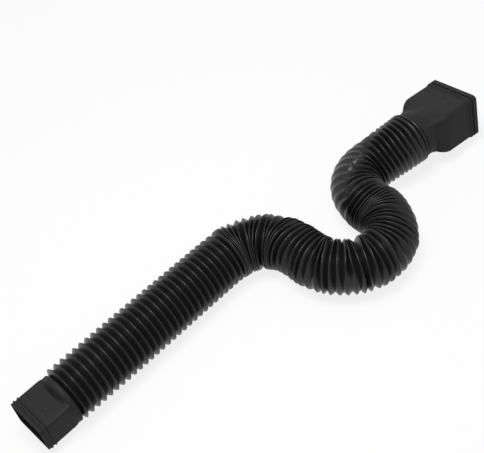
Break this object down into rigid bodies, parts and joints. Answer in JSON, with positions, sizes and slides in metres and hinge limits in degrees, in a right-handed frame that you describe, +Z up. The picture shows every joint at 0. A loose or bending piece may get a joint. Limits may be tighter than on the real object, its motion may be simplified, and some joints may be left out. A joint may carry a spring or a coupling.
{
  "type": "flexible downspout extension",
  "caption": "Bent bellows pipe with a small and a large rectangular socket, which leads rainwater from a downspout across the ground.",
  "frame": {"origin": "on the floor, under the middle of the pipe's outline", "axes": "+X along the long straight run, from the small socket towards the large one; +Z up"},
  "size_m": [1.0588, 0.3288, 0.122],
  "materials": {
    "black_polypropylene": "black moulded polypropylene, satin on the folds and duller on the sockets"
  },
  "bodies": {
    "root": {"downspout_extension": "black_polypropylene"}
  },
  "joints": []
}
